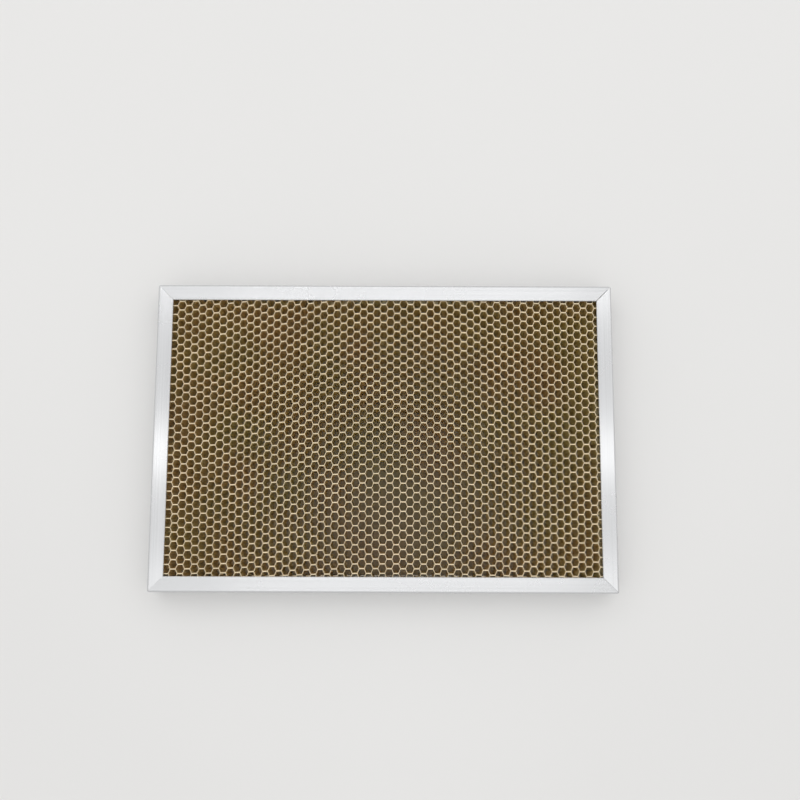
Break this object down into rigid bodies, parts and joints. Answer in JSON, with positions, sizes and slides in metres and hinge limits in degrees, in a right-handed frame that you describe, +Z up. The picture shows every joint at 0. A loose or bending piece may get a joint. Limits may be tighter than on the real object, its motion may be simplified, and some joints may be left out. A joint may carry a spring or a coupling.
{
  "type": "honeycomb laser bed",
  "caption": "Flat honeycomb work table for a laser cutter: a core of folded metal foil cells in a mitred aluminium channel frame.",
  "frame": {"origin": "middle of the bed's underside, on the surface that it lies on", "axes": "+X along the long side to the right, +Y to the back, +Z up out of the work face"},
  "size_m": [0.3, 0.2, 0.022],
  "materials": {
    "rail_aluminium": "satin",
    "honeycomb_foil": "satin",
    "key_steel": "zinc plated",
    "rivet_aluminium": "satin"
  },
  "bodies": {
    "root": {"corner_key_back_left": "key_steel", "corner_key_back_right": "key_steel", "corner_key_front_left": "key_steel", "corner_key_front_right": "key_steel", "corner_rivets": "rivet_aluminium", "foil_strip_01": "honeycomb_foil", "foil_strip_02": "honeycomb_foil", "foil_strip_03": "honeycomb_foil", "foil_strip_04": "honeycomb_foil", "foil_strip_05": "honeycomb_foil", "foil_strip_06": "honeycomb_foil", "foil_strip_07": "honeycomb_foil", "foil_strip_08": "honeycomb_foil", "foil_strip_09": "honeycomb_foil", "foil_strip_10": "honeycomb_foil", "foil_strip_11": "honeycomb_foil", "foil_strip_12": "honeycomb_foil", "foil_strip_13": "honeycomb_foil", "foil_strip_14": "honeycomb_foil", "foil_strip_15": "honeycomb_foil", "foil_strip_16": "honeycomb_foil", "foil_strip_17": "honeycomb_foil", "foil_strip_18": "honeycomb_foil", "foil_strip_19": "honeycomb_foil", "foil_strip_20": "honeycomb_foil", "foil_strip_21": "honeycomb_foil", "foil_strip_22": "honeycomb_foil", "foil_strip_23": "honeycomb_foil", "rail_back": "rail_aluminium", "rail_front": "rail_aluminium", "rail_left": "rail_aluminium", "rail_right": "rail_aluminium"}
  },
  "joints": []
}
